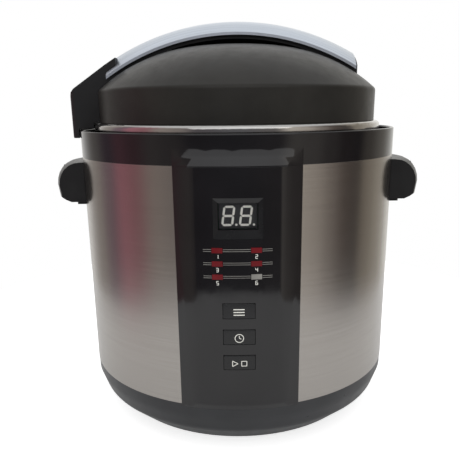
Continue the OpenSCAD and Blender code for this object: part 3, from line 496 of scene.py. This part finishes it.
def ribbon(line, width, r, thick=0.12 * MM, closed=False, front=True):
    """A thin band along a line of (x, z) on an upright cylinder, its face at radius r."""
    points = []
    faces = []
    count = len(line)
    for i in range(count):
        before = line[i - 1] if closed or i > 0 else line[i]
        after = line[(i + 1) % count] if closed or i < count - 1 else line[i]
        ahead = Vector((after[0] - before[0], after[1] - before[1])).normalized()
        side = Vector((-ahead.y, ahead.x)) * width / 2
        here = Vector(line[i])
        for place, depth in ((here + side, 0), (here - side, 0), (here - side, thick), (here + side, thick)):
            points.append(on_wall(place.x, place.y, r - depth if front else r + depth, front))
    for i in range(count if closed else count - 1):
        ahead = (i + 1) % count
        for j in range(4):
            k = (j + 1) % 4
            faces.append((i * 4 + j, ahead * 4 + j, ahead * 4 + k, i * 4 + k))
    if not closed:
        faces.append((0, 1, 2, 3))
        faces.append(tuple(4 * count - 4 + j for j in range(4)))
    return points, faces


def level_line(x0, x1, z):
    """Points of a level line, close enough together to follow the wall's curve."""
    steps = max(1, int((x1 - x0) / (0.8 * MM)))
    return [(x0 + (x1 - x0) * i / steps, z) for i in range(steps + 1)]


def marks(name, bands, slot, body):
    """Several ribbons as one piece."""
    points = []
    faces = []
    for more_points, more_faces in bands:
        start = len(points)
        points.extend(more_points)
        faces.extend([tuple(start + i for i in face) for face in more_faces])
    return make_piece(name, points, faces, slot, body, smooth=False)


NUMERAL_STROKES = {1: "bc", 2: "abged", 3: "abgcd", 4: "fgbc", 5: "afgcd", 6: "afedcg"}
LAMP_ROW_LOW = (166.3 * MM, 156.7 * MM, 147.1 * MM)
LAMP_MIDDLE_X = (-14.9 * MM, 12.7 * MM)
LINE_SPANS_X = ((-24.8 * MM, -19.0 * MM), (-10.8 * MM, 8.6 * MM), (16.8 * MM, 23.9 * MM))
LINE_RISES = (1.2 * MM, 2.6 * MM)
RECESS_HALF_W = 17.4 * MM
RECESS_LOW_Z = 176.1 * MM
RECESS_TOP_Z = 204.6 * MM
POT_WALL_R = 108.4 * MM
PRINT_PROUD = 0.06 * MM
KEY_PRINT_PROUD = 0.03 * MM


def numeral(value, x, z, high, width, r, front=True):
    """A plain numeral drawn with straight strokes."""
    half = high * 0.27
    mid = high / 2
    strokes = {
        "a": [(-half, high), (half, high)], "b": [(half, high), (half, mid)], "c": [(half, mid), (half, 0)],
        "d": [(half, 0), (-half, 0)], "e": [(-half, 0), (-half, mid)], "f": [(-half, mid), (-half, high)],
        "g": [(-half, mid), (half, mid)],
    }
    bands = []
    for letter in NUMERAL_STROKES[value]:
        (x0, z0), (x1, z1) = strokes[letter]
        ends = [(x + x0, z + z0), (x + x1, z + z1)]
        bands.append(ribbon(ends, width, r, front=front))
    return bands


def ring_line(x, z, r, steps=40, start=0.0, sweep=2 * math.pi):
    return [(x + r * math.cos(start + sweep * i / steps), z + r * math.sin(start + sweep * i / steps))
            for i in range(steps)]


def build_panel_marks():
    face = -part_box("control_panel")[0].y + PRINT_PROUD
    line_w = 0.34 * MM
    lines = []
    numerals = []
    number = 1
    for low in LAMP_ROW_LOW:
        for x0, x1 in LINE_SPANS_X:
            for rise in LINE_RISES:
                lines.append(ribbon(level_line(x0, x1, low + rise), line_w, face))
        for x in LAMP_MIDDLE_X:
            numerals.extend(numeral(number, x, low - 3.9 * MM, 2.7 * MM, 0.4 * MM, face))
            number += 1
    marks("lamp_row_lines", lines, "lamp_pale", "body")
    marks("lamp_numerals", numerals, "digit_white", "body")


def build_button_icons():
    width = 0.55 * MM
    for node, body, kind in (("menu_button", "menu_key", "bars"), ("time_button", "time_key", "clock"),
                             ("start_button", "start_key", "run")):
        low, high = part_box(node)
        face = -low.y + KEY_PRINT_PROUD
        z = (low.z + high.z) / 2 - 0.6 * MM
        if kind == "bars":
            bands = [ribbon(level_line(-4 * MM, 4 * MM, z + k * 2.1 * MM), 0.75 * MM, face)
                     for k in (-1, 0, 1)]
        elif kind == "clock":
            bands = [ribbon(ring_line(0, z, 3.1 * MM), width, face, closed=True),
                     ribbon([(0, z), (0, z + 1.9 * MM)], width, face),
                     ribbon([(0, z), (1.4 * MM, z - 0.5 * MM)], width, face)]
        else:
            x = -3.6 * MM
            side = 2.2 * MM
            bands = [ribbon([(x - side * 0.7, z - side), (x + side * 1.1, z)], width, face),
                     ribbon([(x + side * 1.1, z), (x - side * 0.7, z + side)], width, face),
                     ribbon([(x - side * 0.7, z + side), (x - side * 0.7, z - side)], width, face)]
            x = 3.4 * MM
            half = 1.9 * MM
            bands.append(ribbon(level_line(x - half, x + half, z + half), width, face))
            bands.append(ribbon(level_line(x - half, x + half, z - half), width, face))
            bands.append(ribbon([(x - half, z - half), (x - half, z + half)], width, face))
            bands.append(ribbon([(x + half, z - half), (x + half, z + half)], width, face))
        marks(node + "_icon", bands, "digit_white", body)


def frame_loop(half_w, low, high, r, steps=14):
    """Points round an upright rectangle laid on the panel's curve."""
    loop = []
    for i in range(steps):
        loop.append(on_wall(-half_w + 2 * half_w * i / steps, low, r))
    for i in range(steps):
        loop.append(on_wall(half_w, low + (high - low) * i / steps, r))
    for i in range(steps):
        loop.append(on_wall(half_w - 2 * half_w * i / steps, high, r))
    for i in range(steps):
        loop.append(on_wall(-half_w, high - (high - low) * i / steps, r))
    return loop


def build_window_lip():
    """Sloping lip between the panel's recess and the window of the display."""
    low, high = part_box("display_lens")
    face = -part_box("control_panel")[0].y
    seat = -low.y + 0.04 * MM
    inner = (high.x + 0.1 * MM, low.z - 0.3 * MM, high.z + 0.2 * MM)
    outer = (RECESS_HALF_W, RECESS_LOW_Z, RECESS_TOP_Z)
    loops = [frame_loop(*outer, face - 0.1 * MM), frame_loop(*inner, seat + 0.2 * MM),
             frame_loop(*inner, seat), frame_loop(*outer, seat)]
    count = len(loops[0])
    points = [p for loop in loops for p in loop]
    faces = []
    for j in range(4):
        k = (j + 1) % 4
        for i in range(count):
            ahead = (i + 1) % count
            faces.append((j * count + i, j * count + ahead, k * count + ahead, k * count + i))
    make_piece("window_lip", points, faces, "button_black", "body", smooth=False)


def build_pot_marks():
    """Filling marks on the inside wall of the cooking pot, at its back."""
    mark_w = 0.8 * MM
    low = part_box("cooking_pot")[0].z
    bands = []
    for step in range(1, 5):
        z = low + step * 28 * MM
        bands.append(ribbon(level_line(-9 * MM, 4 * MM, z), mark_w, POT_WALL_R, front=False))
        bands.extend(numeral(step, 9 * MM, z - 2.6 * MM, 5.2 * MM, mark_w, POT_WALL_R, False))
    marks("pot_marks", bands, "lamp_pale", "pot")


build_panel_marks()
build_button_icons()
build_window_lip()
build_pot_marks()


# ---------- stage, light and camera ----------

def build_stage():
    reach_x = 0.43
    reach_y = 0.56
    steps = 128
    rim = [(reach_x * math.cos(2 * math.pi * i / steps), reach_y * math.sin(2 * math.pi * i / steps), 0)
           for i in range(steps)]
    mesh = bpy.data.meshes.new("table_top")
    mesh.from_pydata(rim, [], [list(range(steps))])
    top = bpy.data.objects.new("table_top", mesh)
    bpy.context.scene.collection.objects.link(top)
    paint = bpy.data.materials.new("table_white")
    paint.use_nodes = True
    tree = paint.node_tree
    tree.nodes.clear()
    path = tree.nodes.new("ShaderNodeLightPath")
    diffuse = tree.nodes.new("ShaderNodeBsdfDiffuse")
    diffuse.inputs["Color"].default_value = (0.80, 0.80, 0.80, 1)
    glow = tree.nodes.new("ShaderNodeEmission")
    glow.inputs["Color"].default_value = (1.0, 1.0, 1.0, 1)
    seen = tree.nodes.new("ShaderNodeMath")
    seen.operation = "MAXIMUM"
    tree.links.new(path.outputs["Is Camera Ray"], seen.inputs[0])
    tree.links.new(path.outputs["Is Transmission Ray"], seen.inputs[1])
    share = tree.nodes.new("ShaderNodeMath")
    share.operation = "MULTIPLY"
    share.inputs[1].default_value = 0.72
    tree.links.new(seen.outputs[0], share.inputs[0])
    gloss = tree.nodes.new("ShaderNodeMath")
    gloss.operation = "MULTIPLY_ADD"
    gloss.inputs[1].default_value = 0.10
    tree.links.new(path.outputs["Is Glossy Ray"], gloss.inputs[0])
    tree.links.new(share.outputs[0], gloss.inputs[2])
    tree.links.new(gloss.outputs[0], glow.inputs["Strength"])
    both = tree.nodes.new("ShaderNodeAddShader")
    tree.links.new(diffuse.outputs[0], both.inputs[0])
    tree.links.new(glow.outputs[0], both.inputs[1])
    out = tree.nodes.new("ShaderNodeOutputMaterial")
    tree.links.new(both.outputs[0], out.inputs["Surface"])
    mesh.materials.append(paint)


ROOM = (
    (-180, (1.00, 0.99, 0.97)), (-150, (0.80, 0.79, 0.77)), (-120, (0.34, 0.31, 0.29)),
    (-103, (0.20, 0.14, 0.17)), (-89, (0.40, 0.17, 0.21)), (-76, (0.30, 0.14, 0.16)),
    (-60, (0.30, 0.26, 0.24)), (-44, (0.24, 0.21, 0.20)), (-30, (0.10, 0.09, 0.10)),
    (0, (0.12, 0.12, 0.13)), (28, (0.14, 0.13, 0.13)), (40, (0.55, 0.51, 0.46)),
    (54, (0.46, 0.42, 0.38)), (67, (0.25, 0.22, 0.20)), (80, (0.10, 0.08, 0.07)),
    (92, (0.07, 0.06, 0.055)), (104, (0.27, 0.24, 0.20)), (122, (0.42, 0.39, 0.34)),
    (150, (0.85, 0.84, 0.80)), (180, (1.00, 0.99, 0.97)),
)


def build_world():
    """White to the camera; the room round the table to glossy rays; even soft light for the rest."""
    world = bpy.data.worlds.new("room")
    bpy.context.scene.world = world
    world.use_nodes = True
    tree = world.node_tree
    tree.nodes.clear()

    def node(kind, **settings):
        made = tree.nodes.new("ShaderNode" + kind)
        for key, value in settings.items():
            setattr(made, key, value)
        return made

    def join(source, target):
        tree.links.new(source, target)

    way = node("SeparateXYZ")
    join(node("TexCoord").outputs["Generated"], way.inputs[0])
    back = node("Math", operation="MULTIPLY")
    back.inputs[1].default_value = -1
    join(way.outputs["Y"], back.inputs[0])
    turn = node("Math", operation="ARCTAN2")
    join(way.outputs["X"], turn.inputs[0])
    join(back.outputs[0], turn.inputs[1])
    share = node("MapRange")
    share.inputs["From Min"].default_value = -math.pi
    share.inputs["From Max"].default_value = math.pi
    join(turn.outputs[0], share.inputs["Value"])
    ramp = node("ValToRGB")
    ramp.color_ramp.interpolation = "EASE"
    while len(ramp.color_ramp.elements) < len(ROOM):
        ramp.color_ramp.elements.new(0.5)
    for element, (degrees, colour) in zip(ramp.color_ramp.elements, ROOM):
        element.position = (degrees + 180) / 360
    for element, (degrees, colour) in zip(ramp.color_ramp.elements, ROOM):
        element.color = (*colour, 1)
    join(share.outputs["Result"], ramp.inputs["Fac"])
    lift = node("MapRange", interpolation_type="SMOOTHSTEP")
    lift.inputs["From Min"].default_value = 0.45
    lift.inputs["From Max"].default_value = 0.85
    join(way.outputs["Z"], lift.inputs["Value"])
    ceiling = node("MixRGB")
    ceiling.inputs["Color2"].default_value = (0.72, 0.73, 0.74, 1)
    join(lift.outputs["Result"], ceiling.inputs["Fac"])
    join(ramp.outputs["Color"], ceiling.inputs["Color1"])
    path = node("LightPath")
    soft = node("MixRGB")
    soft.inputs["Color1"].default_value = (0.72, 0.72, 0.72, 1)
    join(path.outputs["Is Glossy Ray"], soft.inputs["Fac"])
    join(ceiling.outputs["Color"], soft.inputs["Color2"])
    plain = node("Math", operation="MAXIMUM")
    join(path.outputs["Is Camera Ray"], plain.inputs[0])
    join(path.outputs["Is Transmission Ray"], plain.inputs[1])
    white = node("MixRGB")
    white.inputs["Color2"].default_value = (1, 1, 1, 1)
    join(plain.outputs[0], white.inputs["Fac"])
    join(soft.outputs["Color"], white.inputs["Color1"])
    glow = node("Background")
    join(white.outputs["Color"], glow.inputs["Color"])
    join(glow.outputs[0], node("OutputWorld").inputs["Surface"])


def add_softbox(name, place, aim, width, height, level, colour, mirrored=True):
    """A rectangular lamp whose face shines at the given level, where 1 is white."""
    lamp = bpy.data.lights.new(name, "AREA")
    lamp.shape = "RECTANGLE"
    lamp.size = width
    lamp.size_y = height
    lamp.energy = level * math.pi * width * height
    lamp.color = colour
    box = bpy.data.objects.new(name, lamp)
    bpy.context.scene.collection.objects.link(box)
    box.visible_glossy = mirrored
    box.location = place
    box.rotation_euler = (Vector(aim) - Vector(place)).to_track_quat("-Z", "Y").to_euler()


CAMERA_LENS = 44.16
CAMERA_SHIFT = (-0.0187, 0.0883)
CAMERA_PLACE = (0, -0.5188, 0.2629)
CAMERA_PITCH = 16.03
CAMERA_ROLL = -0.634


def build_camera():
    lens = bpy.data.cameras.new("camera")
    lens.sensor_width = 36.0
    lens.lens = CAMERA_LENS
    lens.shift_x, lens.shift_y = CAMERA_SHIFT
    camera = bpy.data.objects.new("camera", lens)
    bpy.context.scene.collection.objects.link(camera)
    place = Matrix.Translation(CAMERA_PLACE)
    tilt = Matrix.Rotation(math.radians(90 - CAMERA_PITCH), 4, "X")
    roll = Matrix.Rotation(math.radians(CAMERA_ROLL), 4, "Z")
    camera.matrix_world = place @ tilt @ roll
    lens.clip_start = 0.01
    bpy.context.scene.camera = camera


build_stage()
build_world()
add_softbox("front_box", (0.05, -1.25, 1.0), (0, 0, 0.25), 2.0, 0.8, 0.72, (0.98, 0.99, 1.0))
add_softbox("top_box", (0.1, 0.35, 1.5), (0, 0, 0.2), 1.2, 1.0, 0.9, (1.0, 0.98, 0.95), False)
build_camera()
bpy.context.scene.view_settings.view_transform = "Standard"
